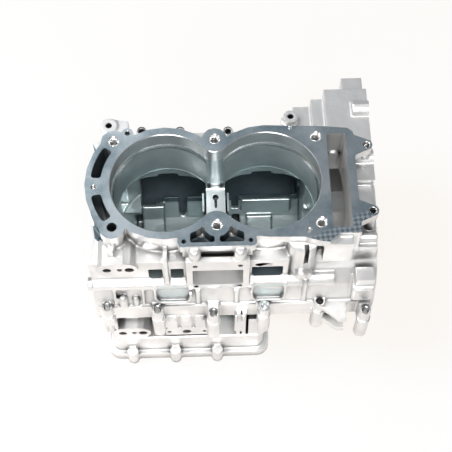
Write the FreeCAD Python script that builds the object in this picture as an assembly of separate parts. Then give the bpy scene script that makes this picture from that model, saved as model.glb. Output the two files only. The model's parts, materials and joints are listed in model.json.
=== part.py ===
import FreeCAD, Part
import math
import os

# Bare crankcase of a parallel-twin engine: an upper casting that carries the
# cylinder block and a lower casting that carries the sump, split on the
# crankshaft axis. X runs along the crankshaft, the intake side faces -Y and the
# cylinders point up, +Z. The origin is on the crankshaft axis midway between
# the cylinders. All sizes are in millimetres.

Vec = FreeCAD.Vector
AXIS = {"x": Vec(1, 0, 0), "y": Vec(0, 1, 0), "z": Vec(0, 0, 1)}

# Greatest gap between a many-sided round form and its true circle
round_facet = 0.6

# Main heights
deck_height = 120.0
sump_face_z = -115.0
deck_plate = 12.0
split_flange = 14.0

# Ends and walls of the crankcase
left_end = -127.0
right_end = 161.0
swing_r = 66.0
case_r = 86.0
chamber_r = 70.0
wall = 6.0
shoulder_y = 72.0
shoulder_rear = 67.0
shoulder_z = 88.0
flange_y = case_r + 2.0

# Cylinder pockets
bore_spacing = 100.0
pocket_r = 54.0
pocket_depth = 18.0
seat_depth = 4.0
spigot_r = 51.5
web_top = 46.0
barrel_wall = 6.0
web_half = 10.0
bay_outer = 94.0
bay_left_upper = 80.0
throat_floor = 20.0
chain_web = 112.0

# Oil tray in the lower casting: inner block beside the left wall, wall tops
block_r = 60.0
block_x0 = -82.0
block_x1 = -58.0
left_groove_r = 69.0
left_wall_top = -31.0
middle_wall_top = -18.7
bar_top = -27.4
bar_low = -40.4
bar_r = 62.0

# Balancer shaft chamber behind the crankshaft
balancer_y = 80.0
balancer_r = 32.0
balancer_bore_r = 16.0
chamber_floor = -52.0
balancer_x0 = -88.0
balancer_x1 = 92.0
rear_edge = 120.0

# Cylinder head bolts
head_bolt_x = 101.0
head_bolt_y = 48.0
head_hole_r = 5.0
head_hole_depth = 42.0
head_boss_r = 12.5

# Coolant slots beside the left cylinder
slot_inner_r = 63.0
slot_outer_r = 73.0
slot_depth = 66.0
slot_corner_r = 2.5
crescent_r = 78.5
slot_angles = [(145.5, 174.5), (190.5, 215.5)]

# Coolant pockets in front of the middle head bolt
window_front = 66.5
window_depth = 15.0
window_half = 26.0
window_web = 2.3
window_block_y = 71.0
window_block_half = 36.0
window_screw_x = 32.0
window_screw_y = 65.3

# Timing chain tunnel
tunnel_x0 = 112.0
tunnel_x1 = 131.0
tunnel_y0 = -54.0
tunnel_y1 = 51.0
tunnel_wall = 8.0
chain_space_r = 70.0
ear_x = 151.2
ear_y = 37.0
ear_r = 6.5
ear_hole_r = 3.4

# Crankshaft bearings and case bolts
bearing_r = 27.0
main_bolt_r = 5.0
main_bolt_x = [-102.0, 0.0, 102.0]
main_bolt_y = 41.0
main_seat_z = -62.0
seat_half = 11.0
main_thread_top = 30.0
bolt_clearance = 0.3
case_bolt_length = 50.0
hole_slack = 0.5
pin_r = 4.0
pin_half = 8.0

# Joining tabs: x of each hole, how far it stands off the case or the rear edge,
# and how far the tab reaches back. One tab on each side carries a bolt.
tab_top = 18.0
tab_half = 6.2
tab_hole_r = 3.4
tab_boss_r = 7.4
tab_boss_foot = -40.0
open_front_tabs = [(-114.4, 2.5, 14), (-62.6, 6.5, 16), (-5.3, 12.0, 26), (104.3, 1.5, 14), (150.5, 13.5, 24)]
bolted_front_tab = (46.9, 6.0, 16)
open_rear_tabs = [(-80.0, 1.5, 16), (-37.3, 0.5, 16), (16.0, -1.0, 16)]
bolted_rear_tab = (95.0, 6.0, 16)

# Oval water pads, one on each casting
pad_half = 20.8
pad_r = 14.0
pad1_x = -98.8
pad1_z = 81.0
pad1_y = -shoulder_y - 4.0
pad2_x = -94.0
pad2_z = -54.0
pad2_y = -case_r - 4.0
pad_holes = [(-10.0, 4.5, 14.0), (2.5, 2.75, 10.0), (12.0, 5.0, 14.0)]

# Rectangular intake-side flange
port_y = -shoulder_y - 8.0
port_plate = 6.0
port_neck_top = 92.0
port_z0 = 41.0
port_z1 = 103.0
port_half = 31.0
port_open_half = 25.0
port_open_z0 = 50.0
port_open_z1 = 84.0
port_depth = 27.0
port_screw_x = 22.0
port_screw_z = [45.5, 93.0]
port_screw_r = 2.6
port_lobe_r = 7.5

# Oil gallery along the front
gallery_y = -shoulder_y - 1.0
gallery_z = 44.0
gallery_r = 8.0
gallery_bore_r = 4.5
gallery_plug_depth = 12.0
gallery_end = 118.0
plug_head = 4.0
plug_head_r = 6.8
plug_shank = 9.0

# Block behind the chain tunnel
block_top = 95.0
block_y = 120.0
block_x = 116.0
front_wall_y = -60.0
front_wall_top = 86.0

# Side cover opening on the chain side
cover_r = 42.0

# Sump
sump_x0 = -118.0
sump_x1 = 50.0
sump_y = case_r + 5.0
sump_flange = 6.0
sump_flange_z = -103.0
sump_boss_r = 6.5
sump_boss_z = -90.0
sump_corner = 14.0
sump_shoulder_z = -66.0
sump_bosses_x = [-96.0, -48.5, -2.0]


def box(x0, x1, y0, y1, z0, z1):
    return Part.makeBox(x1 - x0, y1 - y0, z1 - z0, Vec(x0, y0, z0))


def rod(axis, start, length, radius):
    return Part.makeCylinder(radius, length, Vec(*start), AXIS[axis])


def faceted_rod(axis, start, length, radius):
    """Round form made as a many-sided bar, its corners on the radius."""
    sides = max(8, 4 * math.ceil(math.pi / math.acos(1 - round_facet / radius) / 4))
    across = {"x": (AXIS["y"], AXIS["z"]), "y": (AXIS["z"], AXIS["x"]), "z": (AXIS["x"], AXIS["y"])}[axis]
    centre = Vec(*start)
    ring = []
    for k in range(sides):
        turn = 2 * math.pi * k / sides
        ring.append(centre + across[0] * (radius * math.cos(turn)) + across[1] * (radius * math.sin(turn)))
    return Part.Face(Part.makePolygon(ring + ring[:1])).extrude(AXIS[axis] * length)


def taper(start, length, r_start, r_end, axis="z"):
    return Part.makeCone(r_start, r_end, length, Vec(*start), AXIS[axis])


def prism(points, z0, z1):
    ring = [Vec(x, y, z0) for x, y in points]
    face = Part.Face(Part.makePolygon(ring + ring[:1]))
    return face.extrude(Vec(0, 0, z1 - z0))


def join(parts):
    return parts[0].multiFuse(parts[1:])


def rounded_box(x0, x1, y0, y1, z0, z1, radius):
    """Block whose four vertical edges are rounded."""
    core = box(x0, x1, y0, y1, z0, z1)
    upright = [e for e in core.Edges if abs(e.BoundBox.ZLength - (z1 - z0)) < 1e-6]
    return core.makeFillet(radius, upright)


def ring_sector(cx, cy, r0, r1, a0, a1, z0, z1):
    """Annular slot between two radii and two angles, with rounded corners."""
    start = Vec(cx, cy, z0)
    height = z1 - z0
    outer = Part.makeCylinder(r1, height, start, AXIS["z"], a1 - a0)
    inner = Part.makeCylinder(r0, height, start, AXIS["z"], 360)
    outer.rotate(start, AXIS["z"], a0)
    sector = outer.cut(inner)
    upright = [e for e in sector.Edges if abs(e.BoundBox.ZLength - height) < 1e-6
               and e.BoundBox.DiagonalLength < height * 1.001]
    return sector.makeFillet(min(slot_corner_r, (r1 - r0) / 3), upright)


def stadium_y(x, z, half, radius, y0, y1):
    """Oval bar along Y."""
    reach = half - radius
    middle = box(x - reach, x + reach, y0, y1, z - radius, z + radius)
    ends = [faceted_rod("y", (x + side * reach, y0, z), y1 - y0, radius) for side in (-1, 1)]
    return join([middle] + ends)


bore_x = [-bore_spacing / 2, bore_spacing / 2]
barrel_r = pocket_r + barrel_wall
spine_r = math.hypot(bore_spacing / 2, head_bolt_y) - pocket_r
head_bolts = [(x, y) for x in (-head_bolt_x, 0.0, head_bolt_x)
              for y in (-head_bolt_y, head_bolt_y)]
deck_under = deck_height - deck_plate
front_bolted = (bolted_front_tab[0], -case_r - bolted_front_tab[1], bolted_front_tab[2])
rear_bolted = (bolted_rear_tab[0], rear_edge + bolted_rear_tab[1], bolted_rear_tab[2])
joining_tabs = [(x, -case_r - off, reach) for x, off, reach in open_front_tabs]
joining_tabs += [(x, rear_edge + off, reach) for x, off, reach in open_rear_tabs]
joining_tabs += [front_bolted, rear_bolted]


def deck_outline(z0, z1):
    """Gasket face of the deck, seen from above."""
    parts = [faceted_rod("z", (x, 0, z0), z1 - z0, barrel_r + 2.5) for x in bore_x]
    parts += [faceted_rod("z", (x, y, z0), z1 - z0, head_boss_r) for x, y in head_bolts]
    crescent = faceted_rod("z", (bore_x[0], 0, z0), z1 - z0, crescent_r)
    keep = box(-bore_spacing / 2 - crescent_r, -head_bolt_x + 20, -head_bolt_y - 1, head_bolt_y + 6, z0, z1)
    parts.append(crescent.common(keep))
    parts.append(prism([(-window_block_half, -50), (-window_block_half, -window_block_y),
                        (window_block_half, -window_block_y), (window_block_half, -50)], z0, z1))
    for side in (-1, 1):
        parts.append(faceted_rod("z", (side * window_screw_x, -window_screw_y, z0), z1 - z0, 6.5))
    right = tunnel_x1 + tunnel_wall
    back = tunnel_y1 + 6
    parts.append(prism([(50, 62.5), (head_bolt_x + 10, back + 2.5), (right - 5, back), (right, back - 5),
                        (right, -60.5), (118, -60.5), (108, -69.5), (98, -68), (84, -63.5), (50, -62.5)],
                       z0, z1))
    for y in (-ear_y, ear_y):
        parts.append(faceted_rod("z", (ear_x, y, z0), z1 - z0, ear_r))
        parts.append(prism([(right - 2, y - 12), (right, y - 12), (ear_x, y - ear_r),
                            (ear_x, y + ear_r), (right, y + 12), (right - 2, y + 12)], z0, z1))
    parts.append(faceted_rod("z", (-87, 57, z0), z1 - z0, 6))
    return join(parts)


def joint_flange(z0, z1):
    """Flange on which the two castings meet."""
    plate = rounded_box(left_end, right_end, -flange_y, flange_y, z0, z1, 10)
    rear = rounded_box(balancer_x0 - 16, right_end, 40, rear_edge, z0, z1, 8)
    return plate.fuse(rear)


def tab(x, y, reach, z0, z1):
    """Bolt tab with a rounded nose that points away from the case."""
    out = math.copysign(1, y)
    inner = y - out * reach
    low, high = sorted((inner, y))
    return box(x - tab_half, x + tab_half, low, high, z0, z1).fuse(faceted_rod("z", (x, y, z0), z1 - z0, tab_half))


def upper_bays():
    """Space swept by the crank webs in the upper casting."""
    left = faceted_rod("x", (-bay_left_upper, 0, 0), bay_left_upper - web_half, swing_r)
    right = faceted_rod("x", (web_half, 0, 0), bay_outer - web_half, swing_r)
    return [left.cut(centre_web_top()), right.cut(centre_web_top())]


def lower_bays():
    """Space swept by the crank webs in the lower casting, narrower over the inner block."""
    left = faceted_rod("x", (block_x1, 0, 0), -web_half - block_x1, swing_r)
    over_block = faceted_rod("x", (block_x0, 0, 0), block_x1 - block_x0, block_r)
    groove = faceted_rod("x", (-bay_outer + 5, 0, 0), bay_outer - 5 + block_x0, left_groove_r)
    right = faceted_rod("x", (web_half, 0, 0), bay_outer - web_half, swing_r)
    return [left, over_block, groove, right]


def balancer_chamber():
    """Space for the balancer shaft, open to the crank bays, and its bearing line, bored from the chain side."""
    space = faceted_rod("x", (balancer_x0, balancer_y, 0), balancer_x1 - balancer_x0, balancer_r)
    line = rod("x", (balancer_x0 - 12, balancer_y, 0), right_end + 1 - balancer_x0 + 12, balancer_bore_r)
    return [space, line]


def chain_chamber():
    """Space for the chain drive between the chain web and the end wall."""
    return faceted_rod("x", (chain_web, 0, 0), right_end - wall - chain_web, chain_space_r)


def end_recess():
    """Ring recess around the crankshaft hub in the left end."""
    ring = faceted_rod("x", (left_end, 0, 0), 15, 66)
    hub = faceted_rod("x", (left_end, 0, 0), 15, 38)
    ribs = [box(left_end, left_end + 15, -3, 3, -70, 70), box(left_end, left_end + 15, -70, 70, -3, 3)]
    return ring.cut(join([hub] + ribs))


def upper_body():
    """Outer form of the upper casting."""
    lower_half = box(left_end, right_end, -case_r, case_r, -case_r, 0)
    parts = [faceted_rod("x", (left_end, 0, 0), right_end - left_end, case_r).cut(lower_half)]
    parts.append(box(left_end, 70, -shoulder_y, shoulder_rear, 0, shoulder_z))
    parts.append(box(60, tunnel_x0, -62, shoulder_rear, 0, shoulder_z))
    below = box(left_end, right_end, 0, 2 * balancer_y, -60, 0)
    balancer = faceted_rod("x", (balancer_x0 - 16, balancer_y, 0), right_end - balancer_x0 + 16, balancer_r + wall)
    parts.append(balancer.cut(below))
    parts += [faceted_rod("z", (x, 0, 60), deck_under - 60, barrel_r) for x in bore_x]
    crescent = faceted_rod("z", (bore_x[0], 0, 60), deck_under - 60, crescent_r - 2)
    parts.append(crescent.common(box(left_end, -head_bolt_x + 22, -46, 46, 60, deck_under)))
    for x, y in head_bolts:
        parts.append(faceted_rod("z", (x, y, 58), deck_under - 58, head_boss_r - 1.5))
    parts.append(deck_outline(deck_under, deck_height))
    parts.append(box(-window_block_half + 2, window_block_half - 2, -window_block_y + 1, -40, 96, deck_height))
    right = tunnel_x1 + tunnel_wall
    parts.append(box(tunnel_x0 - 10, right, -60.5, tunnel_y1 + 6, 0, deck_height - 3))
    parts.append(box(right - 8, right_end - 3, front_wall_y, 20, 0, front_wall_top))
    parts.append(box(right - 8, right_end, 10, block_y, 0, block_top))
    parts.append(box(block_x, right_end, 40, block_y, 0, block_top))
    parts.append(box(block_x + 20, right_end - 3, block_y - 1, block_y + 17, 40, block_top - 5))
    parts.append(box(block_x - 14, block_x + 4, 40, block_y - 10, 0, block_top - 3))
    parts.append(box(block_x - 33, block_x - 10, 40, block_y - 17, 0, block_top - 6))
    parts.append(faceted_rod("x", (right_end - 17, block_y - 25, block_top), 17, 9))
    parts.append(joint_flange(0, split_flange))
    return join(parts)


def upper_front():
    """Pads, bosses and ribs on the intake side of the upper casting."""
    parts = [tab(x, y, reach, 0, tab_top) for x, y, reach in joining_tabs]
    parts.append(faceted_rod("x", (left_end, gallery_y, gallery_z), gallery_end - left_end, gallery_r))
    parts.append(stadium_y(pad1_x, pad1_z, pad_half, pad_r, pad1_y, -45))
    parts.append(box(-port_half, port_half, port_y, port_y + port_plate, port_z0, port_z1))
    parts.append(box(-port_half + 2, port_half - 2, port_y + 1, -50, port_z0 + 2, port_neck_top))
    for x in (-port_screw_x, port_screw_x):
        for z in port_screw_z:
            parts.append(faceted_rod("y", (x, port_y, z), 26, port_lobe_r))
    parts.append(faceted_rod("z", (83.5, -60, 50), deck_under - 50, 15))
    parts.append(faceted_rod("y", (86.5, port_y + 1, 62), 22, 8))
    for x, depth, top in ((-51, 78, 100), (-20.7, 86, 45), (18.6, 86, 45), (87.5, 86, 56)):
        parts.append(box(x - 2.2, x + 2.2, -depth, -55, 0, top))
    parts.append(box(-106, -101, -68, -50, 84, 104))
    parts.append(faceted_rod("x", (tunnel_x1, 38, 92), right_end - tunnel_x1, 9))
    parts.append(prism([(99, -80), (99, -87), (107, -94), (123, -107), (131, -107), (131, -80)], 7, split_flange))
    parts.append(faceted_rod("x", (tunnel_x1, -50, 88), right_end - 3 - tunnel_x1, 5.5))
    parts.append(rounded_box(136, right_end - 4, -90, -60, 22, 47, 3))
    parts.append(faceted_rod("z", (-108, 79, 0), 100, 9))
    parts.append(prism([(-112, 50), (-117, 80), (-108, 88), (-88, 84), (-84, 50)], 86, 99))
    parts.append(faceted_rod("z", (79.5, 86, 0), 98, 8))
    parts.append(box(70, 86, 60, 88, 70, 92))
    return parts


def pocket_region(radius, z0, z1):
    """Joined outline of the two cylinder pockets."""
    circles = [rod("z", (x, 0, z0), z1 - z0, radius) for x in bore_x]
    reach = bore_spacing / 2 - radius * (bore_spacing / 2) / math.hypot(bore_spacing / 2, head_bolt_y)
    half = min(reach, 9.0) if radius < pocket_r else reach
    neck = box(-half, half, -head_bolt_y + 6, head_bolt_y - 6, z0, z1)
    spines = [rod("z", (0, side * head_bolt_y, z0), z1 - z0, spine_r) for side in (-1, 1)]
    return join(circles + [neck.cut(join(spines))])


def centre_web_top():
    """Machined head of the centre bearing web, with its oil keyhole."""
    block = box(-14, 14, 5, 27, bearing_r + 1, web_top - 1)
    notches = [box(side * 11 - 1, side * 11 + 1, 4, 28, 30, web_top + 1) for side in (-1, 1)]
    return block.cut(notches)


def web_keyhole():
    return [faceted_rod("z", (0, 21, web_top - 7), 30, 3.5), box(-1.4, 1.4, 8, 21, web_top - 5, web_top + 20)]


def cylinder_pockets():
    """Stepped pockets for the two liners, open to the crank bays below."""
    seat_top = deck_height - pocket_depth
    seat_low = seat_top - seat_depth
    parts = [pocket_region(pocket_r, seat_top, deck_height + 1)]
    parts += [taper((x, 0, seat_low), seat_depth, spigot_r, pocket_r) for x in bore_x]
    region = pocket_region(spigot_r, throat_floor, seat_top)
    web = box(-web_half, web_half, -60, 60, throat_floor, web_top)
    parts.append(region.cut([web, centre_web_top()]))
    parts += [faceted_rod("x", (x - 11, 0, 0), 22, swing_r + 3) for x in bore_x]
    return parts


def coolant_windows():
    """Two shallow pockets either side of the rib under the middle front bolt."""
    top = deck_height + 1
    floor = deck_height - window_depth
    pockets = []
    for side in (-1, 1):
        low, high = sorted((side * window_web, side * window_half))
        block = box(low, high, -window_front, -48, floor, top)
        keep_out = [faceted_rod("z", (x, 0, floor), top - floor, barrel_r + 2) for x in bore_x]
        keep_out.append(faceted_rod("z", (0, -head_bolt_y, floor), top - floor, head_boss_r + 0.5))
        pockets.append(block.cut(join(keep_out)))
    return pockets


def deck_holes():
    parts = []
    for x, y in head_bolts:
        parts.append(rod("z", (x, y, deck_height - head_hole_depth), head_hole_depth + 1, head_hole_r))
    small = [(-87, 57, 2.5, 12), (-119.5, -3.6, 2.5, 12), (88.5, -56.5, 2.5, 12), (75.5, 58.8, 2.0, 8)]
    small += [(side * window_screw_x, -window_screw_y, 2.6, 16) for side in (-1, 1)]
    for x, y, radius, depth in small:
        parts.append(faceted_rod("z", (x, y, deck_height - depth), depth + 1, radius))
    for y in (-ear_y, ear_y):
        parts.append(rod("z", (ear_x, y, deck_under - 1), deck_plate + 2, ear_hole_r))
    return parts


def pad_bores(x, y, z):
    return [faceted_rod("y", (x + dx, y - 1, z), depth + 1, radius) for dx, radius, depth in pad_holes]


def bearing_line():
    """Line bore for the main bearings and the crankshaft's left nose."""
    return rod("x", (left_end - 1, 0, 0), chain_web + 2 - left_end, bearing_r)


def side_opening():
    return rod("x", (right_end - wall - 1, 0, 0), wall + 2, cover_r)


def tab_bores(z0, z1):
    return [faceted_rod("z", (x, y, z0), z1 - z0, tab_hole_r + hole_slack) for x, y, reach in joining_tabs]


def pin_places():
    return [(main_bolt_x[0], -main_bolt_y - 20), (main_bolt_x[2], -main_bolt_y - 20)]


def upper_case():
    body = join([upper_body()] + upper_front())
    cuts = cylinder_pockets() + coolant_windows() + deck_holes() + upper_bays()
    for a0, a1 in slot_angles:
        cuts.append(ring_sector(bore_x[0], 0, slot_inner_r, slot_outer_r, a0, a1,
                                deck_height - slot_depth, deck_height + 1))
    cuts.append(box(tunnel_x0, tunnel_x1, tunnel_y0, tunnel_y1, -1, deck_height + 1))
    cuts.append(chain_chamber())
    cuts.append(box(block_x + wall, right_end - wall, 64, block_y - wall, -1, block_top - 2 * wall))
    cuts.append(box(-112, -90, 16, 29, 22, 54))
    cuts += pad_bores(pad1_x, pad1_y, pad1_z)
    cuts.append(box(-port_open_half, port_open_half, port_y - 1, port_y + port_depth, port_open_z0, port_open_z1))
    for x in (-port_screw_x, port_screw_x):
        for z in port_screw_z:
            cuts.append(rod("y", (x, port_y - 1, z), 15, port_screw_r))
    cuts.append(faceted_rod("x", (left_end, gallery_y, gallery_z), gallery_plug_depth, gallery_bore_r))
    for x0, x1 in ((-69, -55), (-47, -34), (34, 65)):
        cuts.append(box(x0, x1, -shoulder_y - 1, -58, 52, 72))
    cuts += [bearing_line(), side_opening(), end_recess()]
    cuts += tab_bores(-1, tab_top + 1) + balancer_chamber()
    for x in main_bolt_x:
        for y in (-main_bolt_y, main_bolt_y):
            cuts.append(faceted_rod("z", (x, y, -1), main_thread_top + 1, main_bolt_r + hole_slack))
    for x, y in pin_places():
        cuts.append(faceted_rod("z", (x, y, -1), pin_half + 1.3, pin_r + hole_slack))
    cuts.append(faceted_rod("z", (-108, 79, 80), 21, 3.2))
    cuts.append(faceted_rod("z", (79.5, 86, 78), 21, 3.2))
    return body.cut([box(left_end - 5, right_end + 5, -130, 150, -130, 0)] + cuts + web_keyhole())


def lower_body():
    """Outer form of the lower casting."""
    upper_half = box(left_end, right_end, -case_r, case_r, 0, case_r)
    parts = [faceted_rod("x", (left_end, 0, 0), right_end - left_end, case_r).cut(upper_half)]
    parts.append(joint_flange(-split_flange, 0))
    parts.append(rounded_box(sump_x0, sump_x1, -sump_y, sump_y, sump_face_z, sump_shoulder_z, 10))
    parts.append(rounded_box(sump_x0 - sump_flange, sump_x1 + sump_flange, -sump_y - sump_flange,
                             sump_y + sump_flange, sump_face_z, sump_flange_z, sump_corner))
    for x in sump_bosses_x:
        for side in (-1, 1):
            parts.append(faceted_rod("z", (x, side * (sump_y + sump_flange), sump_face_z),
                             sump_boss_z - sump_face_z, sump_boss_r))
    above = box(left_end, right_end, 0, 2 * balancer_y, 0, 60)
    balancer = faceted_rod("x", (balancer_x0 - 16, balancer_y, 0), right_end - balancer_x0 + 16, balancer_r + wall)
    parts.append(balancer.cut(above))
    parts.append(box(balancer_x0 - wall, balancer_x1 + wall, 40, 112 + wall, chamber_floor - wall, 0))
    parts.append(box(block_x, right_end, 40, block_y, -46, 0))
    return join(parts)


def lower_front():
    parts = []
    for x, y, reach in joining_tabs:
        parts.append(faceted_rod("z", (x, y, tab_boss_foot), -tab_boss_foot, tab_boss_r))
        parts.append(tab(x, y, reach, -split_flange, 0))
    parts.append(stadium_y(pad2_x, pad2_z, pad_half, pad_r, pad2_y, -55))
    for x in (-49.5, -34.5, -19.5):
        parts.append(faceted_rod("z", (x, -84, -52), 42, 8))
    parts.append(box(-57.5, -11.5, -94, -70, -62, -44))
    for x in (21, 27):
        parts.append(box(x - 2, x + 2, -92, -70, sump_shoulder_z, 0))
    parts.append(box(32, 48, -90, -70, sump_shoulder_z, -22))
    parts.append(prism([(104, -80), (104, -88), (123, -104), (131, -104), (131, -80)], -26, -18))
    return parts


def sump_space():
    inner = box(sump_x0 + wall, sump_x1 - wall, -sump_y + wall, sump_y - wall,
                sump_face_z - 1, sump_shoulder_z - wall)
    return inner.cut(faceted_rod("x", (sump_x0, 0, 0), sump_x1 - sump_x0, case_r))


def rear_chamber():
    """Oil space behind the tray wall, and the gaps above that wall."""
    span = balancer_x1 - balancer_x0
    main = box(balancer_x0, balancer_x1, 30, 112, chamber_floor, 0)
    narrow = box(balancer_x0, block_x1 - 8, 30, 80, chamber_floor, 0)
    spaces = [main.cut(faceted_rod("x", (balancer_x0, 0, 0), span, chamber_r)),
              narrow.cut(faceted_rod("x", (balancer_x0, 0, 0), span, block_r + 4))]
    gaps = [(block_x0 - 6, block_x1, left_wall_top), (block_x1, -web_half, middle_wall_top),
            (web_half + 8, bay_outer - 8, bar_top)]
    return spaces + [box(x0, x1, 40, 76, z, 0) for x0, x1, z in gaps]


def tray_slots():
    """Upright drain slots through the tray wall."""
    slots = [box(-41, -32, 40, 76, -42, 0), box(web_half + 8, web_half + 16, 40, 76, -40, 0),
             box(web_half + 8, web_half + 17, 30, 60, -62, -46)]
    slots.append(faceted_rod("y", (-36.5, 40, -42), 36, 4.5))
    return slots


def tray_bosses():
    """Bar and raised panel on the right-hand tray."""
    band = faceted_rod("x", (29, 0, 0), 55, swing_r + 2).cut(faceted_rod("x", (29, 0, 0), 55, bar_r))
    panel = faceted_rod("x", (35, 0, 0), 28, swing_r + 1).cut(faceted_rod("x", (35, 0, 0), 28, swing_r - 3))
    return [band.common(box(29, 84, 30, 66, bar_low, bar_top)), panel.common(box(35, 63, 0, 60, -70, -45))]


def lower_case():
    body = join([lower_body()] + lower_front())
    cuts = lower_bays() + [chain_chamber(), bearing_line(), side_opening(), end_recess(), sump_space()]
    cuts += balancer_chamber()
    cuts += rear_chamber() + tray_slots()
    cuts += pad_bores(pad2_x, pad2_y, pad2_z)
    cuts += tab_bores(tab_boss_foot - 1, 1)
    cuts.append(box(block_x + wall, right_end - wall, 64, block_y - wall, -40, 1))
    for x in main_bolt_x:
        for y in (-main_bolt_y, main_bolt_y):
            cuts.append(faceted_rod("z", (x, y, main_seat_z), 1 - main_seat_z, main_bolt_r + hole_slack))
            cuts.append(box(x - seat_half, x + seat_half, y - seat_half, y + seat_half, sump_face_z, main_seat_z))
    for x, y in pin_places():
        cuts.append(faceted_rod("z", (x, y, -pin_half - 0.3), pin_half + 1.3, pin_r + hole_slack))
    cuts.append(faceted_rod("y", (-34.5, -95, -53), 20, 5))
    for x in (-53.5, -15.5):
        cuts.append(faceted_rod("y", (x, -95, -53), 12, 2.5))
    body = body.cut([box(left_end - 5, right_end + 5, -130, 150, 0, 130)] + cuts)
    return body.fuse(tray_bosses())


def hex_bolt(x, y, seat_z, shank_r, length, up):
    """Flange bolt; its head sits at seat_z and its shank runs the other way."""
    direction = 1 if up else -1
    flat = shank_r * 1.75
    corners = [(flat / math.cos(math.pi / 6) * math.cos(math.radians(60 * k + 30)),
                flat / math.cos(math.pi / 6) * math.sin(math.radians(60 * k + 30))) for k in range(6)]
    head = prism([(x + dx, y + dy) for dx, dy in corners], seat_z, seat_z + direction * shank_r * 1.5)
    foot = min(seat_z, seat_z - direction * length)
    return head.fuse(faceted_rod("z", (x, y, foot), length, shank_r)).removeSplitter()


def gallery_plug():
    """Screwed plug: hexagon seated on the end of the gallery and a short shank."""
    corners = [(plug_head_r * math.cos(math.radians(60 * k)), plug_head_r * math.sin(math.radians(60 * k)))
               for k in range(6)]
    head = prism(corners, 0, plug_head)
    head.rotate(Vec(0, 0, 0), AXIS["y"], -90)
    head.translate(Vec(left_end, gallery_y, gallery_z))
    shank = faceted_rod("x", (left_end, gallery_y, gallery_z), plug_shank, gallery_bore_r - hole_slack)
    return head.fuse(shank).removeSplitter()


def dowel_pin(x, y):
    return faceted_rod("z", (x, y, -pin_half), 2 * pin_half, pin_r)


def save(shape, name):
    shape.exportStep("parts/" + name + ".step")
    solids = len(shape.Solids)
    print(name, "solids", solids, "volume cm3", round(shape.Volume / 1000, 1), "valid", shape.isValid())


def main():
    os.makedirs("parts", exist_ok=True)
    save(upper_case(), "upper_case")
    save(lower_case(), "lower_case")
    number = 0
    for x in main_bolt_x:
        for y in (-main_bolt_y, main_bolt_y):
            number += 1
            save(hex_bolt(x, y, main_seat_z, main_bolt_r, main_thread_top - 3 - main_seat_z, False),
                 "main_bolt_%d" % number)
    for name, (x, y, reach) in (("front", front_bolted), ("rear", rear_bolted)):
        save(hex_bolt(x, y, tab_top, tab_hole_r - bolt_clearance, case_bolt_length, True), "case_bolt_" + name)
    save(gallery_plug(), "gallery_plug")
    for name, (x, y) in zip(("left", "right"), pin_places()):
        save(dowel_pin(x, y), "dowel_pin_" + name)


main()
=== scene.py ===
# %% [markdown]
# # A bare crankcase in cast aluminium
# The object is the crankcase of a parallel-twin engine: two die castings joined on the crankshaft
# axis. A real one is cast first, which leaves soft edges and a fine sandy skin, and is then milled,
# bored and tapped, which leaves crisp bright faces. This lesson follows the same order. The packed
# construction model gives every size, and the looks are worked out from it.

# %% Load the construction model
import json
import math

import bmesh
import bpy
import numpy as np
from mathutils import Matrix, Vector
from mathutils.bvhtree import BVHTree


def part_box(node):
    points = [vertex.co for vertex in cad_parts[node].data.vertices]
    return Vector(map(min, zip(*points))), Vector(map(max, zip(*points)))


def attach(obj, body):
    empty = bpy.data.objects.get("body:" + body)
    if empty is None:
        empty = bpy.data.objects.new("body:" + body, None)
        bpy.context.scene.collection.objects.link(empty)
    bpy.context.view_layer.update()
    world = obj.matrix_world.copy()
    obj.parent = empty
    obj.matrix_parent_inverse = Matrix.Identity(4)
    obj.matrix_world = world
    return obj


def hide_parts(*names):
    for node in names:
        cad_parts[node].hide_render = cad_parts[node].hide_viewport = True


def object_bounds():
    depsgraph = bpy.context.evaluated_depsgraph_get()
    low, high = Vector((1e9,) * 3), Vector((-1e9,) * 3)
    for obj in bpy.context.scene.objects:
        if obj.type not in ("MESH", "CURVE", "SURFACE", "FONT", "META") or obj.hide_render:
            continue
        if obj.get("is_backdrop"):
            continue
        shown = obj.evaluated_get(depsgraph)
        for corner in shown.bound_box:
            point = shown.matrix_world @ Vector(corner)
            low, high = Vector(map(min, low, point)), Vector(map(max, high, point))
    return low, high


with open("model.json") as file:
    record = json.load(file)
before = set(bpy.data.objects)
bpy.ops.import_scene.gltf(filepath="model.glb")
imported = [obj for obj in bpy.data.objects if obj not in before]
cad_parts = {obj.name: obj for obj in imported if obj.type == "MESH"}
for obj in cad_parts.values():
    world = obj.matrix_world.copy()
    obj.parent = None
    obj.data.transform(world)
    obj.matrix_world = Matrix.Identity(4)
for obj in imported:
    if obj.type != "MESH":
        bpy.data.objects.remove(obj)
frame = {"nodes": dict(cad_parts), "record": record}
cad_bounds = [list(corner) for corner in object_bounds()]
mounts = {m["name"]: m for m in frame["record"]["mounts"]}
print("construction model box in metres:", cad_bounds)

# %% [markdown]
# ## Driving sizes
# The mounts in the record say where the machined features are. The liner pockets and the milled
# faces are placed from them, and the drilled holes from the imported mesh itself. The small cast forms
# of the front wall, the seat's slope and the web's top are typed below in millimetres, so they don't
# follow a change of size in the construction model.

# %% Sizes read from the record, in metres
MM = 0.001
deck_z = mounts["deck_face"]["pos_m"][2]
sump_z = mounts["sump_face"]["pos_m"][2]
left_bore = Vector(mounts["cylinder_pocket_left"]["pos_m"])
right_bore = Vector(mounts["cylinder_pocket_right"]["pos_m"])
pocket_r = mounts["cylinder_pocket_left"]["dims"]["r_mm"] * MM
pocket_depth = mounts["cylinder_pocket_left"]["dims"]["length_mm"] * MM
head_y = mounts["head_bolts_outer"]["dims"]["spacing_y_mm"] * MM / 2
flange_centre = Vector(mounts["intake_flange"]["pos_m"])
bore_half = right_bore.x
print("bore spacing %.1f mm, deck %.1f mm above the crankshaft" % (2 * bore_half / MM, deck_z / MM))

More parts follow.
